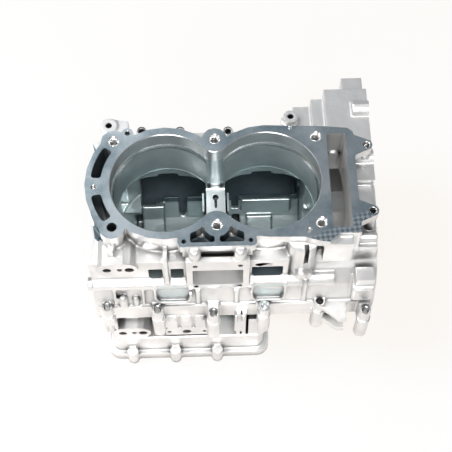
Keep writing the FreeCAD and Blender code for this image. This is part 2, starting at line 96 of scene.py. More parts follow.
# %% [markdown]
# ## Camera, floor and light
# The view looks down on the deck at about sixty degrees with a longish lens. The floor is pale and
# matt, and shows as near white to the camera while it keeps the casting's soft shadow. Large soft
# lamps stand in front and to the left. Bare metal shows what surrounds it, so most of its tone
# comes from how bright each side of the room is.

# %% Camera from an azimuth, an elevation and a roll
def aim_camera(place, azimuth, elevation, roll, lens):
    """Builds the camera's axes in words: back is the unit vector from the subject to the lens, right
    is level and square to it, up completes the three, and both turn by the roll."""
    az, el, ro = (math.radians(a) for a in (azimuth, elevation, roll))
    back = Vector((math.sin(az) * math.cos(el), -math.cos(az) * math.cos(el), math.sin(el)))
    right = Vector((0, 0, 1)).cross(back).normalized()
    up = back.cross(right)
    right_r = right * math.cos(ro) + up * math.sin(ro)
    up_r = up * math.cos(ro) - right * math.sin(ro)
    data = bpy.data.cameras.new("camera")
    data.lens = lens
    data.sensor_width = 36
    data.clip_end = 20
    camera = bpy.data.objects.new("camera", data)
    axes = Matrix((right_r, up_r, back)).transposed().to_4x4()
    camera.matrix_world = Matrix.Translation(Vector(place)) @ axes
    bpy.context.scene.collection.objects.link(camera)
    bpy.context.scene.camera = camera
    return camera


camera = aim_camera((-0.0062, -0.5154, 1.0522), -1.84, 63.45, 0.18, 86.5)
print("camera %.2f m from the crankshaft" % camera.matrix_world.translation.length)


# %% Soft lamps
def soft_lamp(name, place, target, size, power, colour):
    data = bpy.data.lights.new(name, "AREA")
    data.shape = "RECTANGLE"
    data.size, data.size_y = size
    data.energy = power
    data.color = colour
    lamp = bpy.data.objects.new(name, data)
    lamp.location = place
    lamp.rotation_euler = (Vector(target) - Vector(place)).to_track_quat("-Z", "Y").to_euler()
    bpy.context.scene.collection.objects.link(lamp)
    return lamp


soft_lamp("key_lamp", (-1.3, 0.1, 1.7), (0, 0, 0), (1.1, 1.3), 28, (1.0, 0.995, 0.98))
soft_lamp("back_lamp", (-0.45, 0.95, 1.35), (0, 0, 0), (0.9, 0.45), 2.4, (0.97, 0.99, 1.0))
soft_lamp("front_lamp", (-0.3, -1.6, 1.1), (0, 0, 0), (1.2, 0.7), 10, (1.0, 0.98, 0.96))
soft_lamp("top_lamp", (0.15, -0.75, 1.7), (0, 0, 0), (0.5, 0.5), 15, (1.0, 0.99, 0.98))


# %% World and floor
def build_world(ambient, colour):
    world = bpy.data.worlds.new("room")
    bpy.context.scene.world = world
    world.use_nodes = True
    nodes, links = world.node_tree.nodes, world.node_tree.links
    nodes.clear()
    room = nodes.new("ShaderNodeBackground")
    room.inputs["Color"].default_value = colour
    room.inputs["Strength"].default_value = ambient
    white = nodes.new("ShaderNodeBackground")
    white.inputs["Color"].default_value = (1, 1, 1, 1)
    white.inputs["Strength"].default_value = 1.0
    path = nodes.new("ShaderNodeLightPath")
    mix = nodes.new("ShaderNodeMixShader")
    out = nodes.new("ShaderNodeOutputWorld")
    links.new(path.outputs["Is Camera Ray"], mix.inputs["Fac"])
    links.new(room.outputs["Background"], mix.inputs[1])
    links.new(white.outputs["Background"], mix.inputs[2])
    links.new(mix.outputs["Shader"], out.inputs["Surface"])


build_world(0.28, (0.93, 0.96, 1.0, 1))


def build_floor(level, half):
    mesh = bpy.data.meshes.new("floor")
    corners = [(-half, -half, level), (half, -half, level), (half, half, level), (-half, half, level)]
    mesh.from_pydata(corners, [], [(0, 1, 2, 3)])
    floor = bpy.data.objects.new("floor", mesh)
    bpy.context.scene.collection.objects.link(floor)
    material = bpy.data.materials.new("pale_floor")
    material.use_nodes = True
    nodes, links = material.node_tree.nodes, material.node_tree.links
    nodes.clear()
    tint = nodes.new("ShaderNodeMix")
    tint.data_type = "RGBA"
    tint.inputs["A"].default_value = (0.86, 0.82, 0.79, 1)
    tint.inputs["B"].default_value = (0.32, 0.58, 0.86, 1)
    matt = nodes.new("ShaderNodeBsdfDiffuse")
    glow = nodes.new("ShaderNodeEmission")
    glow.inputs["Color"].default_value = (1.0, 0.903, 0.793, 1)
    glow.inputs["Strength"].default_value = 1.24
    share = nodes.new("ShaderNodeMath")
    share.operation = "MULTIPLY"
    share.inputs[1].default_value = 0.72
    path = nodes.new("ShaderNodeLightPath")
    links.new(path.outputs["Is Camera Ray"], tint.inputs["Factor"])
    links.new(tint.outputs["Result"], matt.inputs["Color"])
    mix = nodes.new("ShaderNodeMixShader")
    out = nodes.new("ShaderNodeOutputMaterial")
    links.new(path.outputs["Is Camera Ray"], share.inputs[0])
    links.new(share.outputs["Value"], mix.inputs["Fac"])
    links.new(matt.outputs["BSDF"], mix.inputs[1])
    links.new(glow.outputs["Emission"], mix.inputs[2])
    links.new(mix.outputs["Shader"], out.inputs["Surface"])
    mesh.materials.append(material)
    floor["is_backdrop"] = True
    return floor


floor = build_floor(cad_bounds[0][2], 6.0)
bpy.context.scene.view_settings.view_transform = "Standard"

# %% [markdown]
# ## Metal finishes
# Die-cast aluminium has a fine pebbled skin with slow changes of tone. Its colour carries painted
# shade in sheltered corners, darker where nearby walls hem it in. A milled face shows the arcs
# of the cutter, and on one corner of the deck the squares left by scraping. A bored wall shows fine
# rings around its axis. Each effect is a node group that puts out a value or a normal, and each
# material feeds it to its own shader.

# %% Node group helpers
def new_group(name, inputs, outputs):
    """Makes a shader node group with named float inputs and typed outputs."""
    group = bpy.data.node_groups.new(name, "ShaderNodeTree")
    for label, value in inputs:
        socket = group.interface.new_socket(name=label, in_out="INPUT", socket_type="NodeSocketFloat")
        socket.default_value = value
    for label, kind in outputs:
        group.interface.new_socket(name=label, in_out="OUTPUT", socket_type=kind)
    start = group.nodes.new("NodeGroupInput")
    end = group.nodes.new("NodeGroupOutput")
    return group, start, end


def noise_node(group, coordinates, scale, detail, roughness=0.5):
    node = group.nodes.new("ShaderNodeTexNoise")
    node.inputs["Scale"].default_value = scale
    node.inputs["Detail"].default_value = detail
    node.inputs["Roughness"].default_value = roughness
    group.links.new(coordinates, node.inputs["Vector"])
    return node.outputs["Fac"]


def math_node(group, operation, first, second):
    node = group.nodes.new("ShaderNodeMath")
    node.operation = operation
    for socket, value in zip(node.inputs, (first, second)):
        if isinstance(value, (int, float)):
            socket.default_value = value
        else:
            group.links.new(value, socket)
    return node.outputs["Value"]


def bump_node(group, height, distance, strength=1.0, normal=None):
    node = group.nodes.new("ShaderNodeBump")
    node.inputs["Distance"].default_value = distance
    if isinstance(strength, (int, float)):
        node.inputs["Strength"].default_value = strength
    else:
        group.links.new(strength, node.inputs["Strength"])
    group.links.new(height, node.inputs["Height"])
    if normal is not None:
        group.links.new(normal, node.inputs["Normal"])
    return node.outputs["Normal"]


# %% Cast skin: fine grain over slow waves, with painted shade in sheltered corners
PAINTED_SHADE_REACH = 0.014        # metres within which a neighbouring wall brings painted shade onto the skin
PAINTED_SHADE_SPAN = (0.25, 0.80)  # how open a spot is, from fully hemmed in to fully open
PAINTED_SHADE_TONE = (0.10, 1.0)   # share of the tone that is left at those two, as painted shade


def build_cast_skin_and_shade():
    group, start, end = new_group("cast_skin", [("Grain", 1.0)],
                                  [("Tone", "NodeSocketFloat"), ("Normal", "NodeSocketVector"),
                                   ("Open", "NodeSocketFloat")])
    place = group.nodes.new("ShaderNodeTexCoord").outputs["Object"]
    grain = noise_node(group, place, 1500, 3, 0.6)
    pebble = noise_node(group, place, 420, 2)
    wave = noise_node(group, place, 55, 2)
    height = math_node(group, "ADD", math_node(group, "MULTIPLY", grain, 0.35), pebble)
    fine = bump_node(group, height, 0.00022, start.outputs["Grain"])
    soft = bump_node(group, wave, 0.0012, 0.5, fine)
    blotch = noise_node(group, place, 28, 3)
    speck = math_node(group, "MULTIPLY", math_node(group, "SUBTRACT", grain, 0.5), 0.22)
    tone = math_node(group, "ADD", blotch, speck)
    # Painted shade: an occlusion probe darkens the colour in corners and creases.
    painted_shade_ao = group.nodes.new("ShaderNodeAmbientOcclusion")
    painted_shade_ao.samples = 8
    painted_shade_ao.inputs["Distance"].default_value = PAINTED_SHADE_REACH
    painted_shade_share = group.nodes.new("ShaderNodeMapRange")
    painted_shade_share.inputs["From Min"].default_value, painted_shade_share.inputs["From Max"].default_value = PAINTED_SHADE_SPAN
    painted_shade_share.inputs["To Min"].default_value, painted_shade_share.inputs["To Max"].default_value = PAINTED_SHADE_TONE
    group.links.new(painted_shade_ao.outputs["AO"], painted_shade_share.inputs["Value"])
    group.links.new(tone, end.inputs["Tone"])
    group.links.new(soft, end.inputs["Normal"])
    group.links.new(painted_shade_share.outputs["Result"], end.inputs["Open"])
    return group


# %% Milled face: arcs left by a large cutter, and scrape marks on one corner
SCRAPES_PER_METRE = 290
SCRAPED_CORNER = (0.108, 0.118)  # half of x less y, in metres, where the scraping fades in


def build_mill_marks():
    group, start, end = new_group("mill_marks", [("Depth", 0.5)],
                                  [("Tone", "NodeSocketFloat"), ("Normal", "NodeSocketVector")])
    place = group.nodes.new("ShaderNodeTexCoord").outputs["Object"]
    shift = group.nodes.new("ShaderNodeMapping")
    shift.inputs["Location"].default_value = (0.9, 0.25, 0)
    group.links.new(place, shift.inputs["Vector"])
    arcs = group.nodes.new("ShaderNodeTexWave")
    arcs.wave_type = "RINGS"
    arcs.rings_direction = "Z"
    arcs.inputs["Scale"].default_value = 420
    arcs.inputs["Distortion"].default_value = 0.6
    arcs.inputs["Detail"].default_value = 2
    group.links.new(shift.outputs["Vector"], arcs.inputs["Vector"])
    grain = noise_node(group, place, 900, 3, 0.7)
    cloud = noise_node(group, place, 22, 4, 0.6)
    height = math_node(group, "ADD", arcs.outputs["Fac"], math_node(group, "MULTIPLY", grain, 0.6))
    normal = bump_node(group, height, 0.00006, start.outputs["Depth"])
    streak = math_node(group, "MULTIPLY", arcs.outputs["Fac"], 0.16)
    speck = math_node(group, "MULTIPLY", grain, 0.35)
    tone = math_node(group, "ADD", math_node(group, "ADD", cloud, streak), math_node(group, "SUBTRACT", speck, 0.25))
    turn = group.nodes.new("ShaderNodeMapping")
    turn.inputs["Rotation"].default_value = (0, 0, math.radians(40))
    group.links.new(place, turn.inputs["Vector"])
    scrapes = group.nodes.new("ShaderNodeTexChecker")
    scrapes.inputs["Scale"].default_value = SCRAPES_PER_METRE
    scrapes.inputs["Color1"].default_value = (1, 1, 1, 1)
    scrapes.inputs["Color2"].default_value = (0, 0, 0, 1)
    group.links.new(turn.outputs["Vector"], scrapes.inputs["Vector"])
    split = group.nodes.new("ShaderNodeSeparateXYZ")
    group.links.new(place, split.inputs["Vector"])
    corner = math_node(group, "SUBTRACT", math_node(group, "MULTIPLY", split.outputs["X"], 0.5), split.outputs["Y"])
    edge = group.nodes.new("ShaderNodeMapRange")
    edge.inputs["From Min"].default_value, edge.inputs["From Max"].default_value = SCRAPED_CORNER
    group.links.new(corner, edge.inputs["Value"])
    contrast = math_node(group, "SUBTRACT", scrapes.outputs["Fac"], 0.35)
    patch = math_node(group, "MULTIPLY", edge.outputs["Result"], contrast)
    tone = math_node(group, "ADD", tone, math_node(group, "MULTIPLY", patch, 1.1))
    group.links.new(tone, end.inputs["Tone"])
    group.links.new(normal, end.inputs["Normal"])
    return group


# %% Bored wall: fine level rings and broad upright bands
def build_bore_rings():
    group, start, end = new_group("bore_rings", [("Depth", 0.5)],
                                  [("Tone", "NodeSocketFloat"), ("Normal", "NodeSocketVector")])
    place = group.nodes.new("ShaderNodeTexCoord").outputs["Object"]
    rings = group.nodes.new("ShaderNodeTexWave")
    rings.wave_type = "BANDS"
    rings.bands_direction = "Z"
    rings.inputs["Scale"].default_value = 520
    rings.inputs["Distortion"].default_value = 0.4
    group.links.new(place, rings.inputs["Vector"])
    cloud = noise_node(group, place, 30, 3)
    normal = bump_node(group, rings.outputs["Fac"], 0.00004, start.outputs["Depth"])
    tone = math_node(group, "ADD", cloud, math_node(group, "MULTIPLY", rings.outputs["Fac"], 0.1))
    group.links.new(tone, end.inputs["Tone"])
    group.links.new(normal, end.inputs["Normal"])
    return group


effects = {"cast": build_cast_skin_and_shade(), "milled": build_mill_marks(), "bored": build_bore_rings()}
print("node groups:", sorted(effects))


# %% A metal material from an effect group and two tones
def metal(name, effect, setting, dark, light, roughness, metallic=1.0, span=(0.3, 0.7)):
    """The group's tone runs the base colour from the dark tone to the light one."""
    material = bpy.data.materials.new(name)
    material.use_nodes = True
    tree = material.node_tree
    shader = tree.nodes["Principled BSDF"]
    group = tree.nodes.new("ShaderNodeGroup")
    group.node_tree = effects[effect]
    group.inputs[0].default_value = setting
    ramp = tree.nodes.new("ShaderNodeValToRGB")
    ramp.color_ramp.elements[0].position = span[0]
    ramp.color_ramp.elements[0].color = (*dark, 1)
    ramp.color_ramp.elements[1].position = span[1]
    ramp.color_ramp.elements[1].color = (*light, 1)
    tree.links.new(group.outputs["Tone"], ramp.inputs["Fac"])
    colour = ramp.outputs["Color"]
    # Painted shade: where the group puts out an occlusion value, that value darkens the base colour in corners.
    if "Open" in group.outputs:
        shade = tree.nodes.new("ShaderNodeVectorMath")
        shade.operation = "SCALE"
        tree.links.new(colour, shade.inputs[0])
        tree.links.new(group.outputs["Open"], shade.inputs["Scale"])
        colour = shade.outputs["Vector"]
    tree.links.new(colour, shader.inputs["Base Color"])
    rough = tree.nodes.new("ShaderNodeMapRange")
    rough.inputs["From Min"].default_value = span[0]
    rough.inputs["From Max"].default_value = span[1]
    rough.inputs["To Min"].default_value = roughness[1]
    rough.inputs["To Max"].default_value = roughness[0]
    tree.links.new(group.outputs["Tone"], rough.inputs["Value"])
    tree.links.new(rough.outputs["Result"], shader.inputs["Roughness"])
    shader.inputs["Metallic"].default_value = metallic
    tree.links.new(group.outputs["Normal"], shader.inputs["Normal"])
    return material


cast_metal = metal("cast_aluminium", "cast", 0.5, (0.76, 0.76, 0.755), (0.91, 0.91, 0.905), (0.36, 0.48), 0.85)
milled_metal = metal("milled_face", "milled", 0.6, (0.17, 0.23, 0.27), (0.58, 0.64, 0.68), (0.30, 0.44),
                     span=(0.3, 0.72))
bored_metal = metal("bored_wall", "bored", 0.5, (0.42, 0.50, 0.52), (0.56, 0.64, 0.66), (0.34, 0.46), 0.8)
# Painted shade: a darker teal tone for the inside of the chamber and for the front recesses and panels.
inner_cast = metal("inner_cast", "cast", 0.4, (0.54, 0.62, 0.63), (0.72, 0.79, 0.80), (0.28, 0.38), 0.9)
pocket_wall = metal("pocket_wall", "bored", 0.5, (0.62, 0.67, 0.68), (0.78, 0.81, 0.82), (0.30, 0.42), 0.85)
# Painted shadow: a near-black tone for the coolant slots, the slot by the bore and the deepest hollows.
dark_cast = metal("dark_cast", "cast", 0.5, (0.08, 0.12, 0.14), (0.16, 0.21, 0.24), (0.40, 0.50), 0.6)
bright_metal = metal("bright_cut", "bored", 0.3, (0.86, 0.87, 0.87), (0.95, 0.95, 0.95), (0.22, 0.30))
light_face = metal("light_face", "milled", 0.4, (0.74, 0.75, 0.75), (0.88, 0.88, 0.88), (0.30, 0.40))
steel = metal("zinc_steel", "milled", 0.3, (0.52, 0.54, 0.55), (0.70, 0.71, 0.72), (0.25, 0.36))
CAST, MILLED, BORED, BRIGHT, LIGHT, PAINTED_SHADOW_DARK, PAINTED_SHADE_INNER, POCKET = range(8)
casting_finishes = [cast_metal, milled_metal, bored_metal, bright_metal, light_face, dark_cast,
                    inner_cast, pocket_wall]

# %% [markdown]
# ## Raw castings
# A die casting has no sharp edge: the mould rounds the corners and fills the angles. The packed
# solid is merged, given a little extra metal on every face that will be milled, and turned into an
# even skin of small squares (a voxel remesh). Smoothing that skin rounds the corners and fills the
# angles alike. Rounding each edge with a bevel would fail where many small faces meet.

# %% Mesh pieces as plain arrays
def shell_object(name, shells):
    """One object from several closed shells: corner rows, face lists and a finish for each face."""
    verts, faces, marks, base = [], [], [], 0
    for corners, sides, finishes in shells:
        verts.append(np.asarray(corners, float))
        faces += [tuple(int(i) + base for i in side) for side in sides]
        marks += finishes
        base += len(corners)
    mesh = bpy.data.meshes.new(name)
    mesh.from_pydata(np.vstack(verts).tolist(), [], faces)
    for finish in casting_finishes:
        mesh.materials.append(finish)
    mesh.polygons.foreach_set("material_index", marks)
    item = bpy.data.objects.new(name, mesh)
    bpy.context.scene.collection.objects.link(item)
    return item


def loft(rings, finishes=CAST):
    """Closed shell through a stack of rings with equal counts: side squares between neighbouring
    rings, and a flat lid at each end. Rings run anticlockwise seen from the last one. The finish is
    one for all, or one for each gap between rings, and the lids take the first and the last."""
    rings = np.asarray(rings, float)
    levels, count = rings.shape[:2]
    if isinstance(finishes, int):
        finishes = [finishes] * (levels - 1)
    step = np.arange(count)
    ahead = (step + 1) % count
    sides, marks = [], []
    for k in range(levels - 1):
        low, high = k * count, (k + 1) * count
        sides += np.stack([low + step, low + ahead, high + ahead, high + step], 1).tolist()
        marks += [finishes[k]] * count
    sides.append((step[::-1]).tolist())
    sides.append(((levels - 1) * count + step).tolist())
    return rings.reshape(-1, 3), sides, marks + [finishes[0], finishes[-1]]


AXES = {"x": (1, 2, 0), "y": (2, 0, 1), "z": (0, 1, 2)}


def turned(axis, centre, profile, count=32, finishes=CAST):
    """Shell of a round tool: each profile entry is (distance along the axis, radius), and the ring
    there is the circle of that radius around the axis. Distances rise along the profile."""
    u, v, w = AXES[axis]
    angle = np.linspace(0, 2 * np.pi, count, endpoint=False)
    rings = []
    for along, radius in profile:
        ring = np.empty((count, 3))
        ring[:, u] = centre[u] + radius * np.cos(angle)
        ring[:, v] = centre[v] + radius * np.sin(angle)
        ring[:, w] = centre[w] + along
        rings.append(ring)
    return loft(rings, finishes)


def block(low, high, finish=CAST):
    """Shell of an upright box between two corners."""
    x0, y0, z0 = low
    x1, y1, z1 = high
    rings = [[(x0, y0, z), (x1, y0, z), (x1, y1, z), (x0, y1, z)] for z in (z0, z1)]
    return loft(rings, finish)


def ridge(path, radius, count=10):
    """Shell of a round ridge along a bent path. The ring at each point is the circle of the radius in
    the plane square to the mean of the directions before and after that point."""
    path = np.asarray(path, float)
    steps = np.diff(path, axis=0)
    steps /= np.linalg.norm(steps, axis=1)[:, None]
    along = np.vstack([steps[:1], steps[:-1] + steps[1:], steps[-1:]])
    along /= np.linalg.norm(along, axis=1)[:, None]
    side = np.cross(along[0], (0, 0, 1) if abs(along[0][2]) < 0.7 else (1, 0, 0))
    angle = np.linspace(0, 2 * np.pi, count, endpoint=False)
    rings = []
    for point, ahead in zip(path, along):
        side = side - ahead * np.dot(side, ahead)
        side /= np.linalg.norm(side)
        other = np.cross(ahead, side)
        rings.append(point + radius * (np.outer(np.cos(angle), side) + np.outer(np.sin(angle), other)))
    return loft(rings)


def oval_disc(centre, half_x, half_z, y0, y1, count=32):
    """Shell of a flat oval disc that faces forward: ellipses in the x-z plane from the depth y0
    forward to y1."""
    angle = np.linspace(0, 2 * np.pi, count, endpoint=False)
    rings = [np.stack([centre[0] + half_x * np.cos(angle), np.full(count, y),
                       centre[1] - half_z * np.sin(angle)], 1) for y in (y0, y1)]
    return loft(rings)


def pocket_outline(offset, z, arc=48, bend=14):
    """Outline of the two joined liner pockets: two circles and, at the waist, two arcs that curve the
    other way and touch both circles. The offset grows the circles and shrinks the waist arcs."""
    lean = math.atan2(head_y, bore_half)
    waist_r = math.hypot(bore_half, head_y) - pocket_r - offset
    radius = pocket_r + offset
    right = np.linspace(-(math.pi - lean), math.pi - lean, arc)
    upper = np.linspace(-lean, -(math.pi - lean), bend)[1:-1]
    left = np.linspace(lean, 2 * math.pi - lean, arc)
    lower = np.linspace(math.pi - lean, lean, bend)[1:-1]
    parts = [(bore_half, 0, radius, right), (0, head_y, waist_r, upper),
             (-bore_half, 0, radius, left), (0, -head_y, waist_r, lower)]
    points = [np.stack([cx + r * np.cos(a), cy + r * np.sin(a), np.full(len(a), z)], 1) for cx, cy, r, a in parts]
    return np.vstack(points)


print("pocket outline has", len(pocket_outline(0, deck_z)), "points")


# %% Extra metal on faces that will be milled
STOCK = 2 * MM
LEVEL_TOLERANCE = 0.02 * MM


def faces_on(bm, axis, level, sign, zone=None):
    """Faces that lie on the plane and look along the axis, within an optional zone test."""
    found = []
    for face in bm.faces:
        centre = face.calc_center_median()
        if abs(centre[axis] - level) < LEVEL_TOLERANCE and face.normal[axis] * sign > 0.999:
            if zone is None or zone(centre):
                found.append(face)
    return found


def add_stock(bm, axis, level, sign, zone=None, lift=STOCK):
    picked = faces_on(bm, axis, level, sign, zone)
    grown = bmesh.ops.extrude_face_region(bm, geom=picked)["geom"]
    step = Vector((0, 0, 0))
    step[axis] = sign * lift
    bmesh.ops.translate(bm, verts=[g for g in grown if isinstance(g, bmesh.types.BMVert)], vec=step)
    left_over = [face for face in picked if face.is_valid]
    bmesh.ops.delete(bm, geom=left_over, context="FACES")


def merged_copy(node):
    bm = bmesh.new()
    bm.from_mesh(frame["nodes"][node].data)
    bmesh.ops.remove_doubles(bm, verts=bm.verts, dist=0.002 * MM)
    return bm


# %% From merged solid to soft casting
VOXEL = 1.0 * MM
ROUNDING = 3
BUDGET = 150000


def baked(item):
    """Applies the modifiers of an object and returns its triangle count."""
    view = bpy.context.evaluated_depsgraph_get()
    result = bpy.data.meshes.new_from_object(item.evaluated_get(view))
    old = item.data
    item.modifiers.clear()
    item.data = result
    bpy.data.meshes.remove(old)
    return sum(len(p.vertices) - 2 for p in item.data.polygons)


def soft_casting(name, bm, plugs):
    """Remeshes the solid with its plugged holes, rounds it and thins the flat stretches, then lists
    every finish on it, with the cast skin everywhere to begin with."""
    mesh = bpy.data.meshes.new(name)
    bm.to_mesh(mesh)
    bm.free()
    casting = bpy.data.objects.new(name, mesh)
    bpy.context.scene.collection.objects.link(casting)
    filler = shell_object(name + "_plugs", plugs)
    with bpy.context.temp_override(active_object=casting, object=casting,
                                   selected_editable_objects=[casting, filler]):
        bpy.ops.object.join()
    remesh = casting.modifiers.new("skin", "REMESH")
    remesh.mode = "VOXEL"
    remesh.voxel_size = VOXEL
    smooth = casting.modifiers.new("rounding", "SMOOTH")
    smooth.factor = 0.5
    smooth.iterations = ROUNDING
    count = baked(casting)
    thin = casting.modifiers.new("thinning", "DECIMATE")
    thin.ratio = min(1.0, BUDGET / count)
    after = baked(casting)
    casting.data.materials.clear()
    for finish in casting_finishes:
        casting.data.materials.append(finish)
    casting.data.polygons.foreach_set("material_index", [CAST] * len(casting.data.polygons))
    print(name, "skin", count, "triangles, thinned to", after)
    return casting


# %% [markdown]
# ## Holes as the construction model has them
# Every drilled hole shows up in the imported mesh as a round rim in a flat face. Finding the rims there
# gives each hole's centre and radius, and a ray sent down the hole gives its depth. The same list
# fills the holes before the rounding and drills them again after it, as the real casting is drilled.

# %% Find round holes in a flat face
def rim_loops(bm, faces):
    """Walks the edges that only one of the faces uses, and returns each closed chain of corners."""
    inside = set(faces)
    follow = {}
    for face in faces:
        for loop in face.loops:
            if not any(other in inside for other in loop.edge.link_faces if other is not face):
                follow[loop.vert] = loop.link_loop_next.vert
    chains = []
    while follow:
        start, here = follow.popitem()
        chain = [start]
        while here in follow:
            chain.append(here)
            here = follow.pop(here)
        if here is start:
            chains.append(np.array([v.co for v in chain]))
    return chains


def round_holes(bm, axis, level, sign, largest=8 * MM):
    """A hole's rim runs the other way round from an outer edge, so its signed area is negative."""
    u, v, w = AXES[axis]
    holes = []
    for chain in rim_loops(bm, faces_on(bm, w, level, sign)):
        a, b = chain[:, u], chain[:, v]
        area = sign * 0.5 * np.sum(a * np.roll(b, -1) - b * np.roll(a, -1))
        centre = chain.mean(0)
        reach = np.hypot(a - centre[u], b - centre[v])
        if area < 0 and len(chain) >= 8 and np.ptp(reach) < 0.06 * reach.mean() and reach.mean() < largest:
            holes.append((Vector(centre), float(reach.mean())))
    return holes


def hole_depths(tree, axis, sign, holes, reach):
    """Adds to each hole how far a ray goes down it. A hole that goes right through gets the reach."""
    w = AXES[axis][2]
    down = Vector((0, 0, 0))
    down[w] = -sign
    measured = []
    for centre, radius in holes:
        hit = tree.ray_cast(centre - down * 0.5 * MM, down, reach)
        depth = reach if hit[0] is None else (hit[0] - centre).length
        measured.append((centre, radius, depth))
    return measured


# %% Plug and drill for one hole
PLUG_WALL = 1.3 * MM
THREAD_PITCH = 1.5 * MM


def hole_plug(axis, sign, centre, radius, depth):
    ends = sorted([sign * STOCK, -sign * (depth + PLUG_WALL)])
    return turned(axis, centre, [(end, radius + PLUG_WALL) for end in ends], 24)


def drill(axis, sign, centre, radius, depth, threaded):
    """Profile from the bottom of the hole to above the face: flat bottom, thread grooves, chamfer."""
    chamfer = min(0.8 * MM, 0.16 * radius)
    steps = [(depth, radius * 0.55), (depth - radius * 0.3, radius * 0.9)]
    if threaded:
        turns = int(min(depth - radius, 20 * MM) / THREAD_PITCH)
        start = chamfer + turns * THREAD_PITCH
        for k in range(turns):
            root = start - k * THREAD_PITCH
            steps += [(root, radius * 0.88), (root - THREAD_PITCH * 0.5, radius)]
    steps += [(chamfer, radius * 0.97), (0.0, radius + chamfer), (-3 * MM, radius + chamfer + 3 * MM * 0.2)]
    finishes = [BRIGHT] * (len(steps) - 1)
    profile = [(-sign * along, r) for along, r in steps]
    if sign < 0:
        profile, finishes = profile[::-1], finishes[::-1]
    return turned(axis, centre, profile, 32, finishes)


# %% Cut with tools that carry their own finish
def machine(casting, name, shells):
    """Takes the tools away from the casting. Each new face keeps the finish of the tool that made it."""
    tool = shell_object(name, shells)
    step = casting.modifiers.new(name, "BOOLEAN")
    step.operation = "DIFFERENCE"
    step.solver = "MANIFOLD"
    step.material_mode = "INDEX"
    step.object = tool
    count = baked(casting)
    mesh = tool.data
    bpy.data.objects.remove(tool)
    bpy.data.meshes.remove(mesh)
    print(name, "leaves", count, "triangles")


def paint_shade_zone(casting, low, high, finish):
    """Gives another finish, here a painted shade or shadow, to the cast faces whose centres lie inside a box, in
    millimetres.
    """
    mesh = casting.data
    marks = np.empty(len(mesh.polygons), np.int32)
    centres = np.empty(len(mesh.polygons) * 3, np.float32)
    mesh.polygons.foreach_get("material_index", marks)
    mesh.polygons.foreach_get("center", centres)
    centres = centres.reshape(-1, 3) / MM
    inside = np.all((centres > low) & (centres < high), axis=1) & (marks == CAST)
    marks[inside] = finish
    mesh.polygons.foreach_set("material_index", marks)
    print(casting.name, int(inside.sum()), "faces refinished")


def finish_casting(casting, node):
    """Shades smoothly except where two faces meet at a clear angle, and stands in for the solid."""
    casting.data.polygons.foreach_set("use_smooth", [True] * len(casting.data.polygons))
    casting.data.set_sharp_from_angle(angle=math.radians(32))
    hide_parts(node)
    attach(casting, "root")


# %% [markdown]
# ## Upper casting
# The deck, the joint face, the two end faces, the oval pad and the intake flange are milled. The
# liner pockets are bored in steps: an upper pocket that takes the liner's skirt, a sloping seat, and a
# narrower spigot bore. Under them stands the head of the centre bearing web, milled as well.

# %% Find the machined faces and holes of the upper casting
upper = merged_copy("upper_case")
upper_tree = BVHTree.FromBMesh(upper)
upper_low, upper_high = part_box("upper_case")
pad_face_y = flange_centre.y + 4 * MM
tab_top_z = 18 * MM
drilled = {
    "deck": ("z", 1, round_holes(upper, "z", deck_z, 1), 45 * MM),
    "flange": ("y", -1, round_holes(upper, "y", flange_centre.y, -1), 30 * MM),
    "pad": ("y", -1, round_holes(upper, "y", pad_face_y, -1), 30 * MM),
    "tabs": ("z", 1, round_holes(upper, "z", tab_top_z, 1), tab_top_z + 3 * MM),
}
for place, (axis, sign, holes, reach) in drilled.items():
    print(place, len(holes), "holes, radii in mm", sorted(round(r / MM, 1) for c, r in holes))

# %% Stepped liner pockets
seat_z = deck_z - pocket_depth
seat_drop = 4 * MM
spigot_r = pocket_r - 2.5 * MM
spigot_foot = 57 * MM
neck_half = 9 * MM
waist_r = math.hypot(bore_half, head_y) - pocket_r
edge_break = 0.7 * MM


def neck_outline(grow, z, count=9):
    """Passage between the bores: straight sides, and ends that follow the arcs round the middle bolts."""
    x = np.linspace(-neck_half, neck_half, count)
    end = head_y - np.sqrt((waist_r - grow) ** 2 - x ** 2)
    lower = np.stack([x, -end, np.full(count, z)], 1)
    upper_end = np.stack([x[::-1], end[::-1], np.full(count, z)], 1)
    return np.vstack([lower, upper_end])


def pocket_plugs():
    top = deck_z + STOCK
    fill = 1.2 * MM
    shells = [loft([pocket_outline(fill, seat_z - 2 * MM), pocket_outline(fill, top)])]
    for bore in (left_bore, right_bore):
        foot = Vector((bore.x, bore.y, 0))
        shells.append(turned("z", foot, [(spigot_foot, spigot_r + fill), (seat_z, spigot_r + fill)], 96))
    shells.append(loft([neck_outline(fill, spigot_foot), neck_outline(fill, seat_z)]))
    return shells


def spigot_tool(bore):
    foot = Vector((bore.x, bore.y, 0))
    profile = [(spigot_foot - 1 * MM, spigot_r), (seat_z - seat_drop, spigot_r),
               (seat_z, pocket_r), (seat_z + 0.5 * MM, pocket_r - 0.6 * MM)]
    return turned("z", foot, profile, 128, [BORED, BRIGHT, BRIGHT])


# %% [markdown]
# ### Small cast forms of the front wall
# The front wall carries ribs, screw columns, panel rims and bosses. They are joined to the raw solid
# before the remesh, so their feet run into the wall the way cast fillets do. Cutting them from the
# wall instead would need the whole wall thicker first. Three recesses are cut after the rounding.

# %% Heights and depths that the small forms share, in millimetres
GALLERY_EDGE = (-79, 49)    # y and z where the sloping wall leaves the gallery
PANEL_KNEE = (-84.6, 28)    # y and z where a panel's rim starts to turn
PANEL_FOOT = (-86.4, 22)    # y and z of the rim's lowest stretch
RIB_R = 1.7
COLUMN_X, COLUMN_Y = 22, -73.5
UNDER_DECK_Y = -58          # wall right under the deck


def scaled(shell):
    """A shell drawn in millimetres, turned to metres."""
    corners, sides, marks = shell
    return np.asarray(corners) * MM, sides, marks


